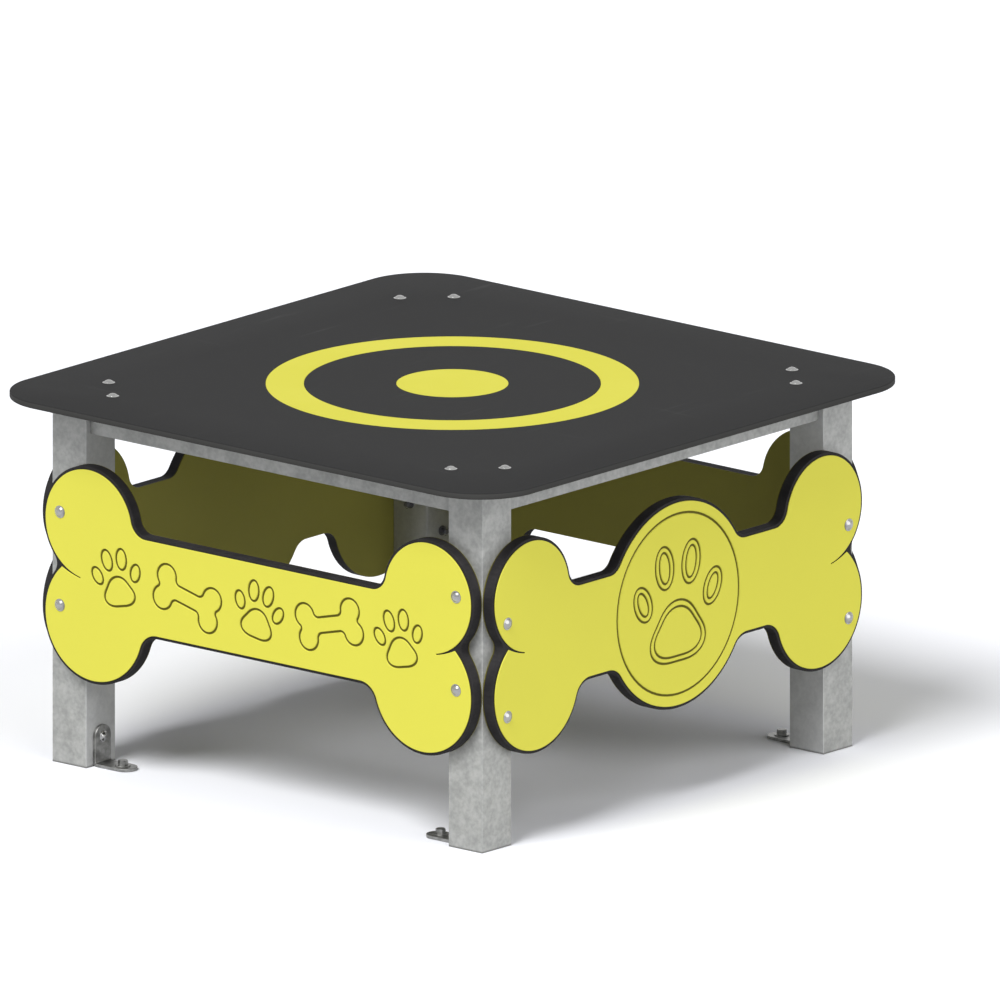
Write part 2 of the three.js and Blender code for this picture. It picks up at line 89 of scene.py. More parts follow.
class Signal:
    """The output of a shader node, to calculate with: an operator adds the Math node that it stands for."""

    def __init__(self, tree, socket=None):
        self.tree = tree
        self.socket = socket

    def node(self, kind, settings=None, inputs=None, output=0):
        """Adds a node with its settings and the values or links of its sockets, and gives one output."""
        added = self.tree.nodes.new(kind)
        for name, value in (settings or {}).items():
            setattr(added, name, value)
        for name, value in (inputs or {}).items():
            if isinstance(value, Signal):
                self.tree.links.new(value.socket, added.inputs[name])
            else:
                added.inputs[name].default_value = value
        return Signal(self.tree, added.outputs[output]) if len(added.outputs) else None

    def other(self, output):
        return Signal(self.tree, self.socket.node.outputs[output])

    def maths(self, operation, first, second=0.0):
        return self.node("ShaderNodeMath", {"operation": operation}, {0: first, 1: second})

    def __add__(self, number):
        return self.maths("ADD", self, number)

    def __radd__(self, number):
        return self.maths("ADD", number, self)

    def __sub__(self, number):
        return self.maths("SUBTRACT", self, number)

    def __rsub__(self, number):
        return self.maths("SUBTRACT", number, self)

    def __mul__(self, number):
        return self.maths("MULTIPLY", self, number)

    def __rmul__(self, number):
        return self.maths("MULTIPLY", number, self)


def empty_tree(owner):
    owner.use_nodes = True
    owner.node_tree.nodes.clear()
    return Signal(owner.node_tree)


def shown_directly(start):
    """1 for what the camera, a gloss or a clear body shows, and 0 for the light that falls on the table."""
    rays = start.node("ShaderNodeLightPath", output="Is Camera Ray")
    total = rays + rays.other("Is Glossy Ray") + rays.other("Is Transmission Ray")
    return total.maths("MINIMUM", total, 1.0)


studio_world = bpy.data.worlds.new("studio_room")
bpy.context.scene.world = studio_world
start = empty_tree(studio_world)
level = shown_directly(start) * (1 - ROOM_LEVEL) + ROOM_LEVEL
room = start.node("ShaderNodeBackground", inputs={"Color": ROOM_WHITE, "Strength": level})
start.node("ShaderNodeOutputWorld", inputs={"Surface": room})

for name, lamp in LAMPS.items():
    bpy.ops.object.light_add(type="SUN", rotation=(math.radians(lamp["tilt"]), 0, math.radians(lamp["turn"])))
    light = bpy.context.object
    light.name = name
    light.data.energy = lamp["level"] * math.pi
    light.data.angle = math.radians(lamp["spread"])

bpy.ops.mesh.primitive_plane_add(size=FLOOR_SIDE, location=(0, 0, -FLOOR_DROP))
floor = bpy.context.object
floor.name = "studio_floor"
floor_paint = bpy.data.materials.new("floor_paint")
start = empty_tree(floor_paint)
plain = start.node("ShaderNodeBsdfDiffuse", inputs={"Color": FLOOR_PALE})
shown = start.node("ShaderNodeBsdfDiffuse", inputs={"Color": FLOOR_SHOWN})
paint = start.node("ShaderNodeMixShader", inputs={0: shown_directly(start), 1: plain, 2: shown})
start.node("ShaderNodeOutputMaterial", inputs={"Surface": paint})
floor.data.materials.append(floor_paint)


# The platform: one square of dark solid plastic sheet with round corners and eased edges, routed 3 mm deep
# for the ring and the disc of the target and drilled for the eight bolts that hold it on the rails.
PLATE_CORNER_RADIUS = 0.106
PLATE_CORNER_STEPS = 32
PLATE_EDGE_RADIUS = 0.0016
ROUTED_DEPTH = 0.003
INLAY_GAP = 0.0003
RING_WIDTH = 0.060
SHANK_HOLE_RADIUS = 0.0043
THROUGH_DRILL = 0.2
HOLE_STEPS = 24
TARGET_STEPS = 180
MERGE_DISTANCE = 0.00001
SHARP_EDGE = math.radians(50)
SMOOTH_BELOW = math.radians(21)
EDGE_STEPS = 3
SMALL_EDGE_STEPS = 2
CHAMFER_STEPS = 1
SIDES = ("front", "right", "back", "left")
ENDS = ("left", "right")

# Its moulded faces are darker than its sawn edge. A pattern is given by its clouds to the metre, its detail
# and its stretch, and bumps by their depth and strength. A TONE is what a pattern counts for in the colour.
PLATE_DARK = (0.018, 0.018, 0.0185)
PLATE_LIGHT = (0.032, 0.032, 0.032)
SAWN_DARK = (0.046, 0.046, 0.045)
SAWN_LIGHT = (0.068, 0.068, 0.066)
SAWN_FADE = 0.001
PLATE_GRAIN = (900, 2)
PLATE_CLOUDS = (5, 4)
SCUFFS_ALONG_Y = (60, 5, (1, 0.08, 1))
SCUFFS_ALONG_X = (50, 5, (0.07, 1, 1))
SCUFF_FADE_Y = (0.62, 0.80)
SCUFF_FADE_X = (0.64, 0.82)
PLATE_BUMPS = (0.00025, 0.6)
PLATE_CLOUD_TONE = 0.45
PLATE_GRAIN_TONE = 0.4
PLATE_SCUFF_TONE = 0.25
PLATE_ROUGHNESS = 0.62
PLATE_CLOUD_ROUGHNESS = 0.12
PLATE_SCUFF_POLISH = 0.08
PLATE_GLOSS = 0.05


def clear_selection():
    bpy.ops.object.select_all(action="DESELECT")


def open_mesh(name):
    """Names the new primitive, keeps its place in its mesh, and opens it with all of it selected."""
    piece = bpy.context.object
    piece.name = name
    piece.data.name = name
    bpy.ops.object.transform_apply(location=True, rotation=True, scale=True)
    bpy.ops.object.mode_set(mode="EDIT")
    bpy.ops.mesh.select_mode(type="VERT")
    bpy.ops.mesh.select_all(action="SELECT")
    return piece


def close_mesh():
    """Merges the corners that lie on each other, points the faces outwards and leaves edit mode."""
    bpy.ops.mesh.select_all(action="SELECT")
    bpy.ops.mesh.remove_doubles(threshold=MERGE_DISTANCE)
    bpy.ops.mesh.normals_make_consistent(inside=False)
    bpy.ops.object.mode_set(mode="OBJECT")


def extrude(x=0.0, y=0.0, z=0.0):
    bpy.ops.mesh.extrude_region_move(TRANSFORM_OT_translate={"value": (x, y, z)})


def pick(kind, chosen):
    """Selects the chosen corners, edges or faces of the open mesh, and nothing else."""
    bpy.ops.mesh.select_mode(type=kind)
    bpy.ops.mesh.select_all(action="DESELECT")
    mesh = bmesh.from_edit_mesh(bpy.context.object.data)
    for part in {"VERT": mesh.verts, "EDGE": mesh.edges, "FACE": mesh.faces}[kind]:
        if chosen(part):
            part.select_set(True)
    bmesh.update_edit_mesh(bpy.context.object.data)


def edge_middle(edge):
    return (edge.verts[0].co + edge.verts[1].co) / 2


def ease_edges(radius, steps=EDGE_STEPS, chosen=lambda place: True):
    """Rounds the sharp edges of the open mesh whose middle is at a chosen place."""
    pick("EDGE", lambda edge: edge.calc_face_angle(0) > SHARP_EDGE and chosen(edge_middle(edge)))
    bpy.ops.mesh.bevel(offset=radius, segments=steps, affect="EDGES")


def cut_out(piece, cutter, operation="DIFFERENCE"):
    """Cuts one body with another, and takes the cutter away."""
    cut = piece.modifiers.new("cut", "BOOLEAN")
    cut.operation = operation
    cut.solver = "EXACT"
    cut.object = cutter
    bpy.context.view_layer.objects.active = piece
    bpy.ops.object.modifier_apply(modifier="cut")
    bpy.data.objects.remove(cutter, do_unlink=True)


def drill(piece, place, depth, radius=SHANK_HOLE_RADIUS, rotation=(0, 0, 0)):
    """Drills a round hole, centred on a place."""
    clear_selection()
    bpy.ops.mesh.primitive_cylinder_add(
        vertices=HOLE_STEPS, radius=radius, depth=depth, location=place, rotation=rotation
    )
    cut_out(piece, bpy.context.object)


def middle_of(node):
    low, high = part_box(node)
    return (low + high) / 2


def hand_over(piece, finish, slot, *nodes):
    """Gives a finished piece its material, and its place in the frame."""
    clear_selection()
    piece.select_set(True)
    bpy.context.view_layer.objects.active = piece
    bpy.ops.object.shade_smooth_by_angle(angle=SMOOTH_BELOW)
    piece.data.materials.clear()
    piece.data.materials.append(finish)
    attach(piece, "root")
    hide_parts(*nodes)


def noise(place, scale, detail=2.0, stretch=(1, 1, 1)):
    """Cloudy noise from 0 to 1, of so many clouds to the metre, which are longer where stretch is below 1."""
    turned = place.node("ShaderNodeMapping", inputs={"Vector": place, "Scale": stretch})
    return place.node("ShaderNodeTexNoise", inputs={"Vector": turned, "Scale": scale, "Detail": detail})


def fade(signal, low, high):
    """Goes softly from 0 to 1 while the signal goes from low to high."""
    limits = {"Value": signal, "From Min": low, "From Max": high}
    return signal.node("ShaderNodeMapRange", {"interpolation_type": "SMOOTHSTEP"}, limits)


def blend_colours(share, first, second):
    """The colour that lies this share of the way from the first to the second."""
    inputs = {0: share}
    for socket, colour in ((6, first), (7, second)):
        inputs[socket] = colour if isinstance(colour, Signal) else (*colour, 1)
    return share.node("ShaderNodeMix", {"data_type": "RGBA", "clamp_factor": True}, inputs, 2)


def bumps(height, depth, strength=1.0):
    return height.node("ShaderNodeBump", inputs={"Height": height, "Distance": depth, "Strength": strength})


def new_finish(name):
    """A new material, and the object's own coordinates to draw it by."""
    finish = bpy.data.materials.new(name)
    start = empty_tree(finish)
    return finish, start.node("ShaderNodeTexCoord", output="Object")


def set_surface(signal, **sockets):
    """Ends a material with its shader. A socket's name is written with _ for its spaces."""
    inputs = {name.replace("_", " "): value for name, value in sockets.items()}
    surface = signal.node("ShaderNodeBsdfPrincipled", inputs=inputs)
    signal.node("ShaderNodeOutputMaterial", inputs={"Surface": surface})


plate_low, plate_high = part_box("top_plate")
dark_sheet, place = new_finish("dark_plastic_sheet")
grain = noise(place, *PLATE_GRAIN)
clouds = noise(place, *PLATE_CLOUDS)
scuffs = fade(noise(place, *SCUFFS_ALONG_Y), *SCUFF_FADE_Y)
scuffs = scuffs + fade(noise(place, *SCUFFS_ALONG_X), *SCUFF_FADE_X)
tone = clouds * PLATE_CLOUD_TONE + grain * PLATE_GRAIN_TONE + scuffs * PLATE_SCUFF_TONE
height = place.node("ShaderNodeSeparateXYZ", inputs={"Vector": place}, output="Z")
above = fade(height, plate_low.z, plate_low.z + SAWN_FADE)
below = fade(height, plate_high.z - PLATE_EDGE_RADIUS, plate_high.z - PLATE_EDGE_RADIUS + SAWN_FADE)
skin = blend_colours(tone, PLATE_DARK, PLATE_LIGHT)
sawn = blend_colours(tone, SAWN_DARK, SAWN_LIGHT)
set_surface(
    place,
    Base_Color=blend_colours(above * (1 - below), skin, sawn),
    Roughness=PLATE_ROUGHNESS + clouds * PLATE_CLOUD_ROUGHNESS - scuffs * PLATE_SCUFF_POLISH,
    Specular_IOR_Level=PLATE_GLOSS,
    Normal=bumps(grain, *PLATE_BUMPS),
)

clear_selection()
bpy.ops.mesh.primitive_plane_add(size=plate_high.x - plate_low.x, location=(0, 0, plate_low.z))
plate = open_mesh("deck_sheet")
bpy.ops.mesh.bevel(offset=PLATE_CORNER_RADIUS, segments=PLATE_CORNER_STEPS, affect="VERTICES")
bpy.ops.mesh.select_all(action="SELECT")
extrude(z=plate_high.z - plate_low.z)
ease_edges(PLATE_EDGE_RADIUS)
close_mesh()


def round_sheet(name, outer, inner, bottom, thickness):
    """A disc, or a ring where it has an inner radius, as an open mesh."""
    clear_selection()
    bpy.ops.mesh.primitive_circle_add(
        vertices=TARGET_STEPS, radius=outer, fill_type="NGON", location=(0, 0, bottom)
    )
    piece = open_mesh(name)
    if inner:
        bpy.ops.mesh.inset(thickness=outer - inner)
        bpy.ops.mesh.delete(type="FACE")
        bpy.ops.mesh.select_all(action="SELECT")
    extrude(z=thickness)
    return piece


ring_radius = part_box("target_ring")[1].x
disc_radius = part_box("target_disc")[1].x
for name, outer, inner in (
    ("ring_pocket", ring_radius + INLAY_GAP, ring_radius - RING_WIDTH - INLAY_GAP),
    ("disc_pocket", disc_radius + INLAY_GAP, 0),
):
    pocket = round_sheet(name, outer, inner, plate_high.z - ROUTED_DEPTH, 2 * ROUTED_DEPTH)
    close_mesh()
    cut_out(plate, pocket)
for side in SIDES:
    for end in ENDS:
        bolt = middle_of(f"plate_bolt_{side}_{end}")
        drill(plate, (bolt.x, bolt.y, plate_high.z), THROUGH_DRILL)
hand_over(plate, dark_sheet, "plate", "top_plate")


# The target: a ring and a disc of yellow plastic sheet, sawn to size and let into the platform, flush with
# its face. They are glued in, and have a fine chamfer all round. Their yellow is painted darker than the
# panels' yellow, as painted shade against the stronger light on the top.
INLAY_CHAMFER = 0.0004
YELLOW = (0.84, 0.805, 0.098)
YELLOW_WORN = (0.765, 0.73, 0.102)
# The deck's yellow is painted darker than YELLOW, as painted shade against the stronger light on the top.
SHADED_DECK_YELLOW = (0.62, 0.585, 0.042)
SHADED_DECK_YELLOW_WORN = (0.54, 0.515, 0.045)
# Painted shade for the grooves and the cut edges of the yellow layers.
CUT_PAINTED_SHADE = (0.115, 0.10, 0.010)
PEEL = (420, 2)
HAZE = (7, 4)
RUBS = (90, 5, (1, 1, 0.06))
RUB_FADE = (0.66, 0.84)
PEEL_BUMPS = (0.0002, 0.5)
PEEL_TONE = 0.25
HAZE_TONE = 0.5
RUB_TONE = 0.25
YELLOW_ROUGHNESS = 0.42
HAZE_ROUGHNESS = 0.12
SHEET_GLOSS = 0.12


def from_middle(place):
    """How far a point lies from the middle of the table along X and along Y, and its height."""
    x = place.node("ShaderNodeSeparateXYZ", inputs={"Vector": place})
    y, height = x.other("Y"), x.other("Z")
    return x.maths("ABSOLUTE", x), x.maths("ABSOLUTE", y), height


def yellow_finish(name, light=YELLOW, worn=YELLOW_WORN, face=None, shade=(0.0, 0.0)):
    """Yellow plastic sheet with a fine moulded skin. Where its face is given, as the distance from the middle
    of the table, its cuts and edges are darkened with painted shade between the two depths of shade."""
    finish, place = new_finish(name)
    peel = noise(place, *PEEL)
    haze = noise(place, *HAZE)
    rubs = fade(noise(place, *RUBS), *RUB_FADE)
    colour = blend_colours(haze * HAZE_TONE + peel * PEEL_TONE + rubs * RUB_TONE, light, worn)
    if face is not None:
        x, y, height = from_middle(place)
        depth = face - x.maths("MAXIMUM", x, y)
        depth = depth.maths("ABSOLUTE", depth)
        colour = blend_colours(fade(depth, *shade), colour, CUT_PAINTED_SHADE)
    set_surface(
        place,
        Base_Color=colour,
        Roughness=YELLOW_ROUGHNESS + haze * HAZE_ROUGHNESS,
        Specular_IOR_Level=SHEET_GLOSS,
        Normal=bumps(peel, *PEEL_BUMPS),
    )
    return finish


shaded_deck_yellow_sheet = yellow_finish("shaded_deck_yellow_sheet", SHADED_DECK_YELLOW, SHADED_DECK_YELLOW_WORN)
for name, node, outer, inner in (
    ("deck_ring", "target_ring", ring_radius, ring_radius - RING_WIDTH),
    ("deck_disc", "target_disc", disc_radius, 0),
):
    low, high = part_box(node)
    inlay = round_sheet(name, outer, inner, low.z, high.z - low.z)
    ease_edges(INLAY_CHAMFER, CHAMFER_STEPS)
    close_mesh()
    hand_over(inlay, shaded_deck_yellow_sheet, "sheet", node)


# The posts: four lengths of square steel tube, sawn and drilled for the bolts of two panels and a foot
# bracket, then hot-dip galvanised, which leaves a cloudy grey zinc skin.
TUBE_CORNER_RADIUS = 0.0012
TUBE_CORNER_STEPS = 5
TUBE_WALL = 0.003
TUBE_END_EASE = 0.0003
DRILL_WALLS = 4
ALONG_Y = (math.pi / 2, 0, 0)
ALONG_X = (0, math.pi / 2, 0)
LEVELS = ("lower", "upper")
CORNERS = {"front_left": (-1, -1), "front_right": (1, -1), "back_right": (1, 1), "back_left": (-1, 1)}

# The two faces that look inwards are painted lighter, as painted light against their shade under the platform,
# and a painted contact shadow darkens the tube where it meets the ground.
ZINC_DARK = (0.315, 0.32, 0.31)
ZINC_LIGHT = (0.475, 0.48, 0.465)
ZINC_FADE = (0.33, 0.67)
ZINC_CLOUDS = (38, 4)
ZINC_FLOWERS = (150, 3)
ZINC_FINE = (700, 2)
ZINC_BUMPS = (0.0003, 0.35)
ZINC_CLOUD_TONE = 0.5
ZINC_FLOWER_TONE = 0.4
ZINC_FINE_TONE = 0.1
ZINC_FLOWER_RELIEF = 0.6
ZINC_FINE_RELIEF = 0.4
ZINC_METALLIC = 0.35
ZINC_ROUGHNESS = 0.42
ZINC_FLOWER_ROUGHNESS = 0.2
ZINC_CONTACT_SHADE = (0.17, 0.17, 0.16)
CONTACT_SHADE_HEIGHT = 0.004
INNER_FACE_PAINTED_LIGHT = (0.80, 0.81, 0.83)
PAINTED_LIGHT_SHARE = 0.36
PAINTED_LIGHT_FADE = (0.0005, 0.001)


def place_copy(master, name, location=(0, 0, 0), turn=0.0, tilt=0.0):
    """Copies a piece with a mesh of its own, tilts it about X, turns it about Z and puts it in its place."""
    clear_selection()
    master.select_set(True)
    bpy.context.view_layer.objects.active = master
    bpy.ops.object.duplicate(linked=False)
    copy = bpy.context.object
    copy.name = name
    copy.data.name = name
    copy.location = location
    copy.rotation_euler = (tilt, 0, turn)
    bpy.ops.object.transform_apply(location=True, rotation=True, scale=True)
    return copy


galvanised, place = new_finish("hot_dip_galvanising")
post_low, post_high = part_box("post_front_right")
x, y, height = from_middle(place)
# Painted light on the faces that look inwards, and below, a painted contact shadow at the ground.
depth = x.maths("MINIMUM", x, y) - post_low.x
inner_face_painted_light = 1 - fade(depth.maths("ABSOLUTE", depth), *PAINTED_LIGHT_FADE)
clouds = noise(place, *ZINC_CLOUDS)
flowers = noise(place, *ZINC_FLOWERS)
fine = noise(place, *ZINC_FINE)
tone = clouds * ZINC_CLOUD_TONE + flowers * ZINC_FLOWER_TONE + fine * ZINC_FINE_TONE
zinc = blend_colours(fade(tone, *ZINC_FADE), ZINC_DARK, ZINC_LIGHT)
zinc = blend_colours(inner_face_painted_light * PAINTED_LIGHT_SHARE, zinc, INNER_FACE_PAINTED_LIGHT)
set_surface(
    place,
    Base_Color=blend_colours(fade(height, 0.0, CONTACT_SHADE_HEIGHT), ZINC_CONTACT_SHADE, zinc),
    Metallic=ZINC_METALLIC,
    Roughness=ZINC_ROUGHNESS + flowers * ZINC_FLOWER_ROUGHNESS,
    Normal=bumps(flowers * ZINC_FLOWER_RELIEF + fine * ZINC_FINE_RELIEF, *ZINC_BUMPS),
)

post_side = post_high.x - post_low.x
post_middle = middle_of("post_front_right")
clear_selection()
bpy.ops.mesh.primitive_plane_add(size=post_side, location=(0, 0, post_low.z))
tube = open_mesh("tube")
bpy.ops.mesh.bevel(offset=TUBE_CORNER_RADIUS, segments=TUBE_CORNER_STEPS, affect="VERTICES")
bpy.ops.mesh.select_all(action="SELECT")
bpy.ops.mesh.inset(thickness=TUBE_WALL)
bpy.ops.mesh.delete(type="FACE")
bpy.ops.mesh.select_all(action="SELECT")
extrude(z=post_high.z - post_low.z)
ease_edges(TUBE_END_EASE, CHAMFER_STEPS)
close_mesh()
for panel_level in LEVELS:
    drill(tube, (0, 0, middle_of(f"front_panel_bolt_{panel_level}_left").z), THROUGH_DRILL, rotation=ALONG_Y)
    drill(tube, (0, 0, middle_of(f"right_panel_bolt_{panel_level}_left").z), THROUGH_DRILL, rotation=ALONG_X)
bracket_hole = (-post_side / 2, 0, middle_of("bracket_bolt_front_right").z)
drill(tube, bracket_hole, DRILL_WALLS * TUBE_WALL, rotation=ALONG_X)
for corner, (side_x, side_y) in CORNERS.items():
    spot = (side_x * post_middle.x, -side_y * post_middle.y, 0)
    post = place_copy(tube, f"tube_{corner}", spot, 0 if side_x > 0 else math.pi)
    hand_over(post, galvanised, "galvanised", f"post_{corner}")
bpy.data.objects.remove(tube, do_unlink=True)


# The rails: a folded steel angle under each edge of the platform, welded between two posts and galvanised
# with them. The platform is bolted down on its level leg.
RAIL_FOLD_RADIUS = 0.006
RAIL_FOLD_STEPS = 5
RAIL_WALL = 0.004
RAIL_EDGE_EASE = 0.0005


def thicken(piece, wall):
    """Gives an open sheet its thickness, behind its faces."""
    bpy.ops.object.mode_set(mode="OBJECT")
    solid = piece.modifiers.new("wall", "SOLIDIFY")
    solid.thickness = wall
    solid.offset = -1
    solid.use_even_offset = True
    bpy.ops.object.modifier_apply(modifier="wall")
    bpy.ops.object.mode_set(mode="EDIT")


rail_low, rail_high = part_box("rail_front")
clear_selection()
bpy.ops.mesh.primitive_plane_add(size=1, location=(0, (rail_low.y + rail_high.y) / 2, rail_high.z))
bpy.context.object.scale = (rail_high.x - rail_low.x, rail_high.y - rail_low.y, 1)
angle_bar = open_mesh("angle_bar")
pick("EDGE", lambda edge: abs(edge_middle(edge).y - rail_low.y) < MERGE_DISTANCE)
extrude(z=rail_low.z - rail_high.z)
pick("EDGE", lambda edge: len(edge.link_faces) == 2)
bpy.ops.mesh.bevel(offset=RAIL_FOLD_RADIUS, segments=RAIL_FOLD_STEPS, affect="EDGES")
thicken(angle_bar, RAIL_WALL)
ease_edges(RAIL_EDGE_EASE, SMALL_EDGE_STEPS)
close_mesh()
for end in ENDS:
    bolt = middle_of(f"plate_bolt_front_{end}")
    drill(angle_bar, (bolt.x, bolt.y, rail_high.z), DRILL_WALLS * RAIL_WALL)
for index, side in enumerate(SIDES):
    rail = place_copy(angle_bar, f"angle_bar_{side}", turn=index * math.pi / 2)
    hand_over(rail, galvanised, "galvanised", f"rail_{side}")
bpy.data.objects.remove(angle_bar, do_unlink=True)


# The panels: sheet of three fused layers, yellow on black on yellow, sawn to the outline of a bone. At the
# left and right a round medallion stands in the middle. The outer yellow layer is cut back round the edge,
# so that a black border shows, and cut through along a crease beside each upper lobe.
BORDER = 0.005
BAR_HALF = 0.081
UPPER_LOBE = 0.351 + 0.081j
UPPER_RADIUS = 0.094
LOWER_LOBE = 0.340 - 0.070j
LOWER_RADIUS = 0.105
UPPER_FILLET = 0.026
LOWER_FILLET = 0.031
NOTCH_FILLET = 0.020
MEDALLION_RADIUS = 0.169
CREASE_LENGTH = 0.037
CREASE_WALL_RADIUS = 0.15
CREASE_TIP = 0.0020
CREASE = (CREASE_LENGTH, CREASE_WALL_RADIUS, CREASE_TIP)
CHORD_ERROR = 0.00004
SEED_SIZE = 0.001
SKIN_RIM_RADIUS = 0.0006
CORE_RIM_RADIUS = 0.0008
QUARTER = math.pi / 2
CORE_DARK = (0.018, 0.017, 0.018)
CORE_LIGHT = (0.038, 0.036, 0.037)
CORE_FADE = (0.3, 0.75)
SAW_MARKS_ALONG_Y = (260, 3, (1, 0.06, 1))
SAW_MARKS_ALONG_X = (260, 3, (0.06, 1, 1))
CORE_HAZE = (30, 3)
SAW_BUMPS = (0.0002, 0.3)
SAW_TONE = 0.4
CORE_HAZE_TONE = 0.6
CORE_ROUGHNESS = 0.6
CORE_HAZE_ROUGHNESS = 0.2
# The inner yellow layer is painted darker than the outer one, as painted shade for the inside of the table.
SHADED_BACKING_YELLOW = (0.49, 0.458, 0.098)
SHADED_BACKING_WORN = (0.43, 0.405, 0.096)
BACKING_SHADE = (0.0, 0.0006)


def fillet_at(lobe, radius, edge, fillet, side):
    """The centre of the fillet between a level edge and a round part, to its right (1) or its left (-1).
    A point of an outline is a complex number: its way along the panel, and its height over the middle."""
    y = edge + math.copysign(fillet, edge)
    reach = math.sqrt((radius + fillet) ** 2 - (lobe.imag - y) ** 2)
    return complex(lobe.real + side * reach, y)


def crossing(first, first_radius, second, second_radius):
    """Where two rounds cross, on the right-hand side of the way from the first to the second."""
    way = second - first
    along = (abs(way) ** 2 + first_radius**2 - second_radius**2) / (2 * abs(way))
    return first + way / abs(way) * complex(along, -math.sqrt(first_radius**2 - along**2))


def bone_arcs(bar, lower, upper, fillets, medallion=0.0, crease=None, notch_fillet=0.0):
    """The arcs of the right half of a bone, from its lower edge round to its upper edge. Each is its centre,
    radius, first angle and last angle. bar is half the bone's height at its middle, and lower and upper are
    the centre and radius of its lobes."""
    low, low_radius = lower
    high, high_radius = upper
    arcs = []
    low_corner = fillet_at(low, low_radius, -bar, fillets[0], -1)
    high_corner = fillet_at(high, high_radius, bar, fillets[1], -1)
    if medallion:
        inner = fillet_at(0j, medallion, -bar, fillets[0], 1)
        arcs.append((0j, medallion, -QUARTER, phase(inner)))
        arcs.append((inner, fillets[0], phase(inner) + math.pi, QUARTER))
    start = phase(low - low_corner)
    arcs.append((low_corner, fillets[0], QUARTER, start))
    notch = crossing(low, low_radius, high, high_radius)
    high_start = phase(notch - high)
    if crease:
        length, wall_radius, tip = crease
        high_start -= length / high_radius
        cap = high + rect(high_radius + tip / 2, high_start)
        wall = cap + rect(tip / 2 - wall_radius, high_start)
        mouth = crossing(low, low_radius, wall, wall_radius)
        arcs.append((low, low_radius, start - math.pi, phase(mouth - low)))
        arcs.append((wall, wall_radius, phase(mouth - wall), high_start))
        arcs.append((cap, tip / 2, high_start, high_start - math.pi))
    elif notch_fillet:
        hollow = crossing(low, low_radius + notch_fillet, high, high_radius + notch_fillet)
        high_start = phase(hollow - high)
        arcs.append((low, low_radius, start - math.pi, phase(hollow - low)))
        arcs.append((hollow, notch_fillet, phase(low - hollow) + 2 * math.pi, phase(high - hollow)))
    else:
        arcs.append((low, low_radius, start - math.pi, phase(notch - low)))
    end = phase(high - high_corner)
    arcs.append((high, high_radius, high_start, end + math.pi))
    arcs.append((high_corner, fillets[1], end, -QUARTER))
    if medallion:
        inner = fillet_at(0j, medallion, bar, fillets[1], 1)
        arcs.append((inner, fillets[1], -QUARTER, phase(inner) - math.pi))
        arcs.append((0j, medallion, phase(inner), QUARTER))
    return arcs


def trace_bone(name, arcs, height):
    """Draws the right half of an outline from its arcs, and mirrors it into a closed line. It grows from a
    small square that is merged into its first point."""
    centre, radius, first, _ = arcs[0]
    here = complex(0, (centre + rect(radius, first)).imag)
    clear_selection()
    bpy.ops.mesh.primitive_plane_add(size=SEED_SIZE, location=(here.real, here.imag, height))
    line = open_mesh(name)
    bpy.ops.mesh.merge(type="CENTER")
    for centre, radius, first, last in arcs:
        step = centre + rect(radius, first) - here
        if abs(step) > MERGE_DISTANCE:
            extrude(step.real, step.imag)
        bpy.ops.mesh.spin(
            steps=math.ceil(abs(last - first) / math.acos(1 - CHORD_ERROR / radius) / 2),
            angle=first - last,
            center=(centre.real, centre.imag, height),
            axis=(0, 0, 1),
        )
        here = centre + rect(radius, last)
    if here.real > MERGE_DISTANCE:
        extrude(-here.real)
    bpy.ops.object.mode_set(mode="OBJECT")
    bpy.ops.object.modifier_add(type="MIRROR")
    bpy.ops.object.modifier_apply(modifier="Mirror")
    bpy.ops.object.mode_set(mode="EDIT")
    bpy.ops.mesh.select_all(action="SELECT")
    bpy.ops.mesh.remove_doubles(threshold=MERGE_DISTANCE)
    return line


panel_low, panel_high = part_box("front_panel_core")
panel_middle = (panel_low.z + panel_high.z) / 2
bolt_reach = middle_of("front_panel_bolt_lower_right").x


def panel_layer(name, node, side, inset, crease, rim, eased_at_back):
    """One layer of a panel, as it lies on its back: y is its height over the middle of the panel, and z is
    its way out from the middle of the table."""
    low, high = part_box(node)
    back, face = -high.y, -low.y
    arcs = bone_arcs(
        BAR_HALF - inset,
        (LOWER_LOBE, LOWER_RADIUS - inset),
        (UPPER_LOBE, UPPER_RADIUS - inset),
        (LOWER_FILLET + inset, UPPER_FILLET + inset),
        MEDALLION_RADIUS - inset if side == "right" else 0.0,
        crease,
        NOTCH_FILLET,
    )
    layer = trace_bone(name, arcs, back)
    bpy.ops.mesh.edge_face_add()
    extrude(z=face - back)
    eased = back if eased_at_back else face
    ease_edges(rim, SMALL_EDGE_STEPS, lambda place: abs(place.z - eased) < MERGE_DISTANCE)
    close_mesh()
    for x in (-bolt_reach, bolt_reach):
        for panel_level in LEVELS:
            height = middle_of(f"{side}_panel_bolt_{panel_level}_left").z - panel_middle
            drill(layer, (x, height, face), THROUGH_DRILL)
    return layer


black_core, place = new_finish("black_plastic_core")
saw_marks = noise(place, *SAW_MARKS_ALONG_Y) * 0.5 + noise(place, *SAW_MARKS_ALONG_X) * 0.5
haze = noise(place, *CORE_HAZE)
tone = fade(saw_marks * SAW_TONE + haze * CORE_HAZE_TONE, *CORE_FADE)
set_surface(
    place,
    Base_Color=blend_colours(tone, CORE_DARK, CORE_LIGHT),
    Roughness=CORE_ROUGHNESS + haze * CORE_HAZE_ROUGHNESS,
    Specular_IOR_Level=SHEET_GLOSS,
    Normal=bumps(saw_marks, *SAW_BUMPS),
)


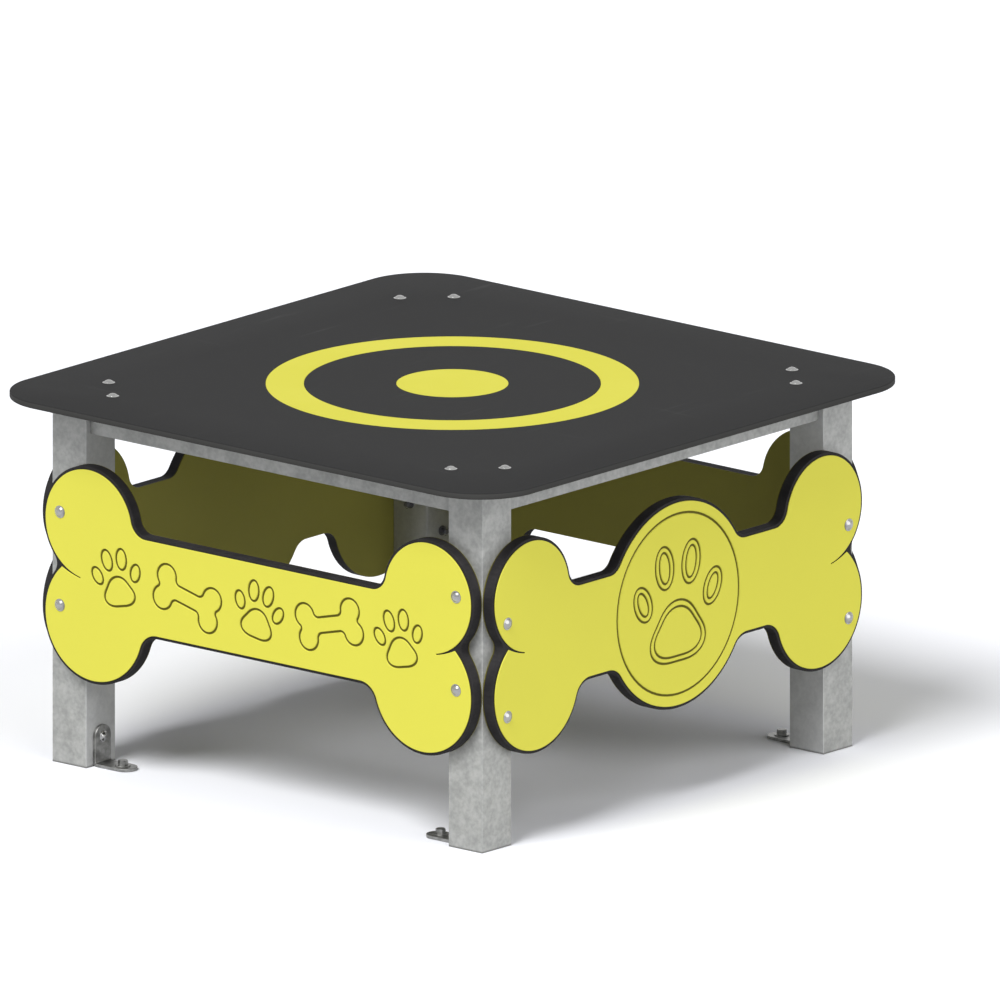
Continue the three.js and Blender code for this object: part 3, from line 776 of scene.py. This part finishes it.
# The engraving: trails of paws and bones on the plain panels, and one large paw in a ring on each medallion.
# It is cut with a round-nosed cutter that stays inside the yellow layer, and the grooves are darkened with
# painted shade.
GROOVE_RADIUS = 0.0026
GROOVE_CENTRE_OUT = 0.0007
GROOVE_ROUNDNESS = 7
GROOVE_SHADE = (0.0007, 0.0015)
TRAIL_PAW_HEIGHT = 0.112
TRAIL_BONE_LENGTH = 0.135
MEDALLION_PAW_HEIGHT = 0.235
MEDALLION_PAW_DROP = 0.004
MEDALLION_INNER_LINE = 0.0095
MEDALLION_RING_RADIUS = 0.146

# Where the paws and bones of a trail lie on their panel, and how many degrees each is turned.
TRAIL_PAWS = ((-0.292, 0.002, 12.0), (0.0, -0.002, -10.0), (0.292, 0.002, 12.0))
TRAIL_BONES = ((-0.147, -0.004, -14.0), (0.147, 0.004, 14.0))

# The pads of a paw: place, half width and half height in shares of the paw's height, and degrees of lean.
PAW_STEPS = 72
PAW_PAD = (0.0, -0.19, 0.27, 0.21, 0.0)
PAW_TOES = (
    (-0.355, 0.075, 0.085, 0.130, 24.0),
    (-0.135, 0.285, 0.092, 0.150, 7.0),
    (0.135, 0.285, 0.092, 0.150, -7.0),
    (0.355, 0.075, 0.085, 0.130, -24.0),
)
PAD_LOBES = 3
PAD_LOBE_DEPTH = 0.11

# The shape of a small bone, in shares of its own size.
BONE_BAR = 0.13
BONE_LOBE = 0.50 + 0.19j
BONE_LOBE_RADIUS = 0.20
BONE_FILLET = 0.10
BONE_NOTCH_FILLET = 0.06


def groove_bar(line):
    """Turns a closed line into the round bar that cuts a groove along it."""
    clear_selection()
    line.select_set(True)
    bpy.context.view_layer.objects.active = line
    bpy.ops.object.convert(target="CURVE")
    bar = bpy.context.object
    bar.data.bevel_depth = GROOVE_RADIUS
    bar.data.bevel_resolution = GROOVE_ROUNDNESS
    bpy.ops.object.convert(target="MESH")
    cutter = open_mesh("groove_bar")
    close_mesh()
    return cutter


def draw_round(name, spot, size, tilt, lobed):
    """Draws an oval line, or one pulled out into three soft lobes."""
    clear_selection()
    bpy.ops.mesh.primitive_circle_add(vertices=PAW_STEPS, radius=1)
    line = bpy.context.object
    if lobed:
        for corner in line.data.vertices:
            angle = math.atan2(corner.co.y, corner.co.x)
            corner.co *= 1 - PAD_LOBE_DEPTH * math.sin(PAD_LOBES * angle)
    line.scale = (size[0], size[1], 1)
    line.rotation_euler.z = tilt
    line.location = spot
    open_mesh(name)
    bpy.ops.object.mode_set(mode="OBJECT")
    return line


def engrave_paw(skin, spot, height, tilt, out, insets=(0.0,)):
    """Engraves the pads of a paw of this height, each with lines that lie this far inside its outline."""
    turn = rect(1, tilt)
    for index, (x, y, half_width, half_height, lean) in enumerate((PAW_PAD, *PAW_TOES)):
        at = complex(*spot) + turn * complex(x, y) * height
        turned = tilt + math.radians(lean)
        for inset in insets:
            size = (half_width * height - inset, half_height * height - inset)
            line = draw_round("paw_line", (at.real, at.imag, out), size, turned, index == 0)
            cut_out(skin, groove_bar(line))


def engrave_bone(skin, spot, length, tilt, out):
    """Engraves the outline of a bone of about this length."""
    size = length / 2 / (BONE_LOBE.real + BONE_LOBE_RADIUS)
    lobe = (BONE_LOBE * size, BONE_LOBE_RADIUS * size)
    mirrored_lobe = (BONE_LOBE.conjugate() * size, BONE_LOBE_RADIUS * size)
    fillet = BONE_FILLET * size
    notch_fillet = BONE_NOTCH_FILLET * size
    arcs = bone_arcs(BONE_BAR * size, mirrored_lobe, lobe, (fillet, fillet), notch_fillet=notch_fillet)
    line = trace_bone("bone_line", arcs, 0)
    bpy.ops.object.mode_set(mode="OBJECT")
    line.rotation_euler.z = tilt
    line.location = (*spot, out)
    open_mesh("bone_line")
    bpy.ops.object.mode_set(mode="OBJECT")
    cut_out(skin, groove_bar(line))


panel_face = -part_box("front_panel_outer_skin")[0].y
panel_back = -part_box("front_panel_inner_skin")[1].y
groove_out = panel_face + GROOVE_CENTRE_OUT
shaded_backing_sheet = yellow_finish("shaded_backing_yellow_sheet", SHADED_BACKING_YELLOW, SHADED_BACKING_WORN, panel_back, BACKING_SHADE)
engraved_sheet = yellow_finish("engraved_yellow_sheet", face=panel_face, shade=GROOVE_SHADE)
PANEL_FINISHES = {
    "inner_skin": (shaded_backing_sheet, "sheet"),
    "core": (black_core, "core"),
    "outer_skin": (engraved_sheet, "sheet"),
}

for side, far_side in (("front", "back"), ("right", "left")):
    layers = {
        "inner_skin": panel_layer("inner", "front_panel_inner_skin", side, 0, None, SKIN_RIM_RADIUS, True),
        "core": panel_layer("core", "front_panel_core", side, 0, None, CORE_RIM_RADIUS, False),
        "outer_skin": panel_layer(
            "outer", "front_panel_outer_skin", side, BORDER, CREASE, SKIN_RIM_RADIUS, False
        ),
    }
    skin = layers["outer_skin"]
    if side == "front":
        for x, y, tilt in TRAIL_PAWS:
            engrave_paw(skin, (x, y), TRAIL_PAW_HEIGHT, math.radians(tilt), groove_out)
        for x, y, tilt in TRAIL_BONES:
            engrave_bone(skin, (x, y), TRAIL_BONE_LENGTH, math.radians(tilt), groove_out)
    else:
        spot = (0, -MEDALLION_PAW_DROP)
        engrave_paw(skin, spot, MEDALLION_PAW_HEIGHT, 0, groove_out, (0.0, MEDALLION_INNER_LINE))
        ring_size = (MEDALLION_RING_RADIUS, MEDALLION_RING_RADIUS)
        cut_out(skin, groove_bar(draw_round("ring_line", (0, 0, groove_out), ring_size, 0, False)))
    for layer, master in layers.items():
        for panel_side in (side, far_side):
            turn = SIDES.index(panel_side) * QUARTER
            standing = place_copy(master, f"{panel_side}_bone_{layer}", (0, 0, panel_middle), turn, QUARTER)
            hand_over(standing, *PANEL_FINISHES[layer], f"{panel_side}_panel_{layer}")
        bpy.data.objects.remove(master, do_unlink=True)


# The bolts: bright zinc-plated steel with a smooth domed head outside and a washer and a hexagon nut inside.
# Sixteen go through a panel and a post, eight through the platform and a rail, and four hold the brackets.
DOME_RADIUS = 0.010
BRACKET_DOME_RADIUS = 0.009
DOME_HEIGHT = 0.005
FLANGE_RIM = 0.0007
FLANGE_TOP = 0.0013
FLANGE_WIDTH = 0.0021
FLANGE_EDGE = 0.0004
DOME_ARC_STEPS = 8
SHANK_RADIUS = 0.004
THREAD_DEPTH = 0.0006
THREAD_PITCH = 0.00125
THREAD_TURNS = 3
WASHER_RADIUS = 0.008
WASHER_THICKNESS = 0.0016
WASHER_EDGE = 0.0003
NUT_CORNER_RADIUS = 0.0075
NUT_HEIGHT = 0.0065
HEXAGON_SIDES = 6
TURNED_SHARE = 0.96
THREAD_END = 0.003
LATHE_STEPS = 40

# The inner ends of the bolts, with their nuts and washers, are rougher than the heads, and painted darker as
# painted shade inside the table. They lie nearer to the middle than the first limits, and between the heights
# of the other two.
ZINC_PLATE_DARK = (0.25, 0.25, 0.25)
ZINC_PLATE_LIGHT = (0.46, 0.46, 0.45)
ZINC_PATCHES = (150, 3)
ZINC_BRUSHING = (1500, 2, (1, 1, 0.2))
BRUSHING_BUMPS = (0.00005, 0.3)
BRIGHT_ROUGHNESS = 0.10
PATCH_ROUGHNESS = 0.14
DULL_ROUGHNESS = 0.45
INNER_END_PAINTED_SHADE = (0.20, 0.20, 0.21)
DULL_INSIDE = (0.400, 0.405)
DULL_ABOVE = (0.150, 0.155)
DULL_BELOW = (0.592, 0.597)


def lathe(name, profile):
    """Turns a profile, given by radius and height, round the upright axis."""
    clear_selection()
    radius, height = profile[0]
    bpy.ops.mesh.primitive_plane_add(size=SEED_SIZE, location=(radius, 0, height))
    piece = open_mesh(name)
    bpy.ops.mesh.merge(type="CENTER")
    for (radius, height), (next_radius, next_height) in zip(profile, profile[1:]):
        extrude(next_radius - radius, 0, next_height - height)
    bpy.ops.mesh.select_all(action="SELECT")
    bpy.ops.mesh.spin(steps=LATHE_STEPS, angle=2 * math.pi, center=(0, 0, 0), axis=(0, 0, 1))
    close_mesh()
    return piece


def washer(name, radius, thickness, bottom):
    """A pressed washer with rounded edges, round a shank."""
    top = bottom + thickness
    hole = SHANK_HOLE_RADIUS
    outline = [(hole, bottom), (radius - WASHER_EDGE, bottom), (radius, bottom + WASHER_EDGE)]
    outline += [(radius, top - WASHER_EDGE), (radius - WASHER_EDGE, top), (hole, top), (hole, bottom)]
    return lathe(name, outline)


def hexagon(name, corner_radius, bottom, top, both_ends):
    """A hexagon head or nut, whose corners are turned off at the top, or at both ends. It has a known fault:
    on a nut the cones of the two ends cross before they reach far, and only slivers of its corners are left."""
    clear_selection()
    bpy.ops.mesh.primitive_circle_add(
        vertices=HEXAGON_SIDES, radius=corner_radius, fill_type="NGON", location=(0, 0, bottom)
    )
    body = open_mesh(name)
    extrude(z=top - bottom)
    close_mesh()
    half_side = math.pi / HEXAGON_SIDES
    slope = math.tan(half_side)
    flat_radius = corner_radius * math.cos(half_side)
    face_radius = flat_radius * TURNED_SHARE
    far = 2 * corner_radius
    fall = (far - face_radius) * slope
    outline = [(0, top), (face_radius, top), (far, top - fall)]
    if both_ends:
        outline += [(far, bottom + fall), (face_radius, bottom), (0, bottom)]
    else:
        under = bottom - (corner_radius - flat_radius) * slope * 2
        outline += [(far, under), (0, under)]
    cut_out(body, lathe("turned_corners", outline), "INTERSECT")
    return body


def join(name, parts):
    """Joins the bodies of one bought part into one piece."""
    clear_selection()
    for part in parts:
        part.select_set(True)
    bpy.context.view_layer.objects.active = parts[0]
    bpy.ops.object.join()
    joined = bpy.context.object
    joined.name = name
    joined.data.name = name
    return joined


def dome_bolt(name, dome_radius, grip):
    """A bolt that points up with its seat at zero, and the washer and nut under what it grips."""
    foot_radius = dome_radius - FLANGE_WIDTH
    edge_angle = 2 * math.atan((DOME_HEIGHT - FLANGE_TOP) / foot_radius)
    ball_radius = foot_radius / math.sin(edge_angle)
    dome = [(0, DOME_HEIGHT)]
    for step in range(1, DOME_ARC_STEPS + 1):
        angle = edge_angle * step / DOME_ARC_STEPS
        dome.append((ball_radius * math.sin(angle), DOME_HEIGHT - ball_radius * (1 - math.cos(angle))))
    flange = [(dome_radius - FLANGE_EDGE, FLANGE_TOP - FLANGE_EDGE), (dome_radius, FLANGE_RIM)]
    flange.append((dome_radius, 0))
    nut_end = -grip - WASHER_THICKNESS - NUT_HEIGHT
    shank = [(SHANK_RADIUS, 0), (SHANK_RADIUS, nut_end)]
    for turn in range(THREAD_TURNS):
        height = nut_end - turn * (THREAD_END - THREAD_PITCH / 2) / THREAD_TURNS
        shank.append((SHANK_RADIUS - THREAD_DEPTH, height - THREAD_PITCH / 3))
        shank.append((SHANK_RADIUS, height - THREAD_PITCH * 2 / 3))
    shank += [(SHANK_RADIUS - THREAD_DEPTH, nut_end - THREAD_END), (0, nut_end - THREAD_END)]
    bolt = lathe(name, dome + flange + shank)
    ring = washer("washer", WASHER_RADIUS, WASHER_THICKNESS, -grip - WASHER_THICKNESS)
    nut = hexagon("nut", NUT_CORNER_RADIUS, nut_end, nut_end + NUT_HEIGHT, True)
    return join(name, [bolt, ring, nut])


bright_zinc, place = new_finish("bright_zinc_plate")
patches = noise(place, *ZINC_PATCHES)
brushing = noise(place, *ZINC_BRUSHING)
x, y, height = from_middle(place)
# Painted shade, with more roughness, on the inner ends of the bolts inside the table.
shade_and_dullness = (1 - fade(x.maths("MINIMUM", x, y), *DULL_INSIDE)) * fade(height, *DULL_ABOVE)
shade_and_dullness = shade_and_dullness * (1 - fade(height, *DULL_BELOW))
set_surface(
    place,
    Base_Color=blend_colours(shade_and_dullness, blend_colours(patches, ZINC_PLATE_DARK, ZINC_PLATE_LIGHT), INNER_END_PAINTED_SHADE),
    Metallic=1.0,
    Roughness=BRIGHT_ROUGHNESS + patches * PATCH_ROUGHNESS + shade_and_dullness * DULL_ROUGHNESS,
    Normal=bumps(brushing, *BRUSHING_BUMPS),
)


def set_bolts(master, bolts):
    """Copies a bolt to the place of each named node. turn is the side of the table that its head faces, or
    None where it faces up."""
    length = master.dimensions.z
    for name, node, turn in bolts:
        way = (0, 0, 1) if turn is None else (math.sin(turn), -math.cos(turn), 0)
        spot = [middle + part * (length / 2 - DOME_HEIGHT) for middle, part in zip(middle_of(node), way)]
        bolt = place_copy(master, name, spot, turn or 0, 0 if turn is None else QUARTER)
        hand_over(bolt, bright_zinc, "bolt", node)
    bpy.data.objects.remove(master, do_unlink=True)


def grip_of(node):
    """How much a bolt holds between its head and its washer: its length is its node's longest side."""
    length = max(top - bottom for bottom, top in zip(*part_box(node)))
    return length - (DOME_HEIGHT + WASHER_THICKNESS + NUT_HEIGHT + THREAD_END)


panel_bolts = []
plate_bolts = []
for index, side in enumerate(SIDES):
    for end in ENDS:
        plate_bolts.append((f"deck_bolt_{side}_{end}", f"plate_bolt_{side}_{end}", None))
        for panel_level in LEVELS:
            node = f"{side}_panel_bolt_{panel_level}_{end}"
            panel_bolts.append((f"{side}_bone_bolt_{panel_level}_{end}", node, index * QUARTER))
bracket_bolts = [
    (f"foot_bolt_{corner}", f"bracket_bolt_{corner}", -QUARTER if side_x > 0 else QUARTER)
    for corner, (side_x, side_y) in CORNERS.items()
]
for name, dome_radius, bolts in (
    ("long_bolt", DOME_RADIUS, panel_bolts),
    ("deck_bolt", DOME_RADIUS, plate_bolts),
    ("foot_bolt", BRACKET_DOME_RADIUS, bracket_bolts),
):
    first_node = bolts[0][1]
    set_bolts(dome_bolt(name, dome_radius, grip_of(first_node)), bolts)


# The foot brackets: a flat bar with round ends, bent to a right angle and galvanised, bolted to each post on
# the side that faces the middle. Its foot lies on the ground and takes the anchor bolt.
BAR_THICKNESS = 0.005
BAR_BEND_RADIUS = 0.008
BAR_BEND_STEPS = 7
BAR_END_STEPS = 18
BAR_EDGE_EASE = 0.0007
BAR_END_LAND = 0.0002
ANCHOR_HOLE_RADIUS = 0.0046
SMOOTH_ZINC_DARK = (0.17, 0.17, 0.165)
SMOOTH_ZINC_LIGHT = (0.34, 0.34, 0.33)
SMOOTH_ZINC_FADE = (0.3, 0.7)
SMOOTH_ZINC_CLOUDS = (90, 4)
SMOOTH_ZINC_FINE = (800, 2)
SMOOTH_ZINC_BUMPS = (0.0002, 0.3)
SMOOTH_ZINC_ROUGHNESS = 0.36
SMOOTH_ZINC_CLOUD_ROUGHNESS = 0.16

smooth_zinc, place = new_finish("smooth_zinc_skin")
clouds = noise(place, *SMOOTH_ZINC_CLOUDS)
fine = noise(place, *SMOOTH_ZINC_FINE)
set_surface(
    place,
    Base_Color=blend_colours(fade(clouds, *SMOOTH_ZINC_FADE), SMOOTH_ZINC_DARK, SMOOTH_ZINC_LIGHT),
    Metallic=1.0,
    Roughness=SMOOTH_ZINC_ROUGHNESS + clouds * SMOOTH_ZINC_CLOUD_ROUGHNESS,
    Normal=bumps(clouds * 0.5 + fine * 0.5, *SMOOTH_ZINC_BUMPS),
)

bar_low, bar_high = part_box("foot_bracket_front_right")
bar_reach, bar_width, bar_height = bar_high.x - bar_low.x, bar_high.y - bar_low.y, bar_high.z
clear_selection()
bpy.ops.mesh.primitive_plane_add(size=1, location=(-bar_reach / 2, 0, 0))
bpy.context.object.scale = (bar_reach, bar_width, 1)
flat_bar = open_mesh("flat_bar")
bpy.ops.mesh.flip_normals()
pick("EDGE", lambda edge: edge_middle(edge).x > -MERGE_DISTANCE)
extrude(z=bar_height)
pick("VERT", lambda corner: max(-bar_reach - corner.co.x, corner.co.z - bar_height) > -MERGE_DISTANCE)
bpy.ops.mesh.bevel(offset=bar_width / 2 - BAR_END_LAND, segments=BAR_END_STEPS, affect="VERTICES")
pick("EDGE", lambda edge: edge.calc_face_angle(0) > SHARP_EDGE)
bpy.ops.mesh.bevel(offset=BAR_BEND_RADIUS, segments=BAR_BEND_STEPS, affect="EDGES")
thicken(flat_bar, BAR_THICKNESS)
ease_edges(BAR_EDGE_EASE, SMALL_EDGE_STEPS)
close_mesh()
drill_depth = DRILL_WALLS * BAR_THICKNESS
drill(flat_bar, (0, 0, middle_of("bracket_bolt_front_right").z), drill_depth, rotation=ALONG_X)
anchor = middle_of("anchor_bolt_front_right")
drill(flat_bar, (anchor.x - bar_high.x, 0, 0), drill_depth, ANCHOR_HOLE_RADIUS)
for corner, (side_x, side_y) in CORNERS.items():
    spot = (side_x * bar_high.x, -side_y * post_middle.y, 0)
    bracket = place_copy(flat_bar, f"flat_bar_{corner}", spot, 0 if side_x > 0 else math.pi)
    hand_over(bracket, smooth_zinc, "galvanised", f"foot_bracket_{corner}")
bpy.data.objects.remove(flat_bar, do_unlink=True)


# The anchor bolts: zinc-coated steel with a hexagon head on a wide washer. Each is screwed through the foot
# of a bracket, and ends here at the ground.
ANCHOR_WASHER_RADIUS = 0.012
ANCHOR_CORNER_RADIUS = 0.008
ANCHOR_SHANK_RADIUS = 0.004

anchor_low, anchor_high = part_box("anchor_bolt_front_right")
seat = BAR_THICKNESS
washer_top = seat + WASHER_THICKNESS
ring = washer("anchor_washer", ANCHOR_WASHER_RADIUS, WASHER_THICKNESS, seat)
head = hexagon("anchor_head", ANCHOR_CORNER_RADIUS, washer_top, anchor_high.z, False)
shank_profile = [(0, anchor_low.z), (ANCHOR_SHANK_RADIUS, anchor_low.z)]
shank_profile += [(ANCHOR_SHANK_RADIUS, washer_top), (0, washer_top)]
shank = lathe("anchor_shank", shank_profile)
anchor_bolt = join("anchor", [head, ring, shank])
for corner, (side_x, side_y) in CORNERS.items():
    spot = (side_x * anchor.x, -side_y * post_middle.y, 0)
    fixed = place_copy(anchor_bolt, f"ground_bolt_{corner}", spot)
    hand_over(fixed, smooth_zinc, "bolt", f"anchor_bolt_{corner}")
bpy.data.objects.remove(anchor_bolt, do_unlink=True)
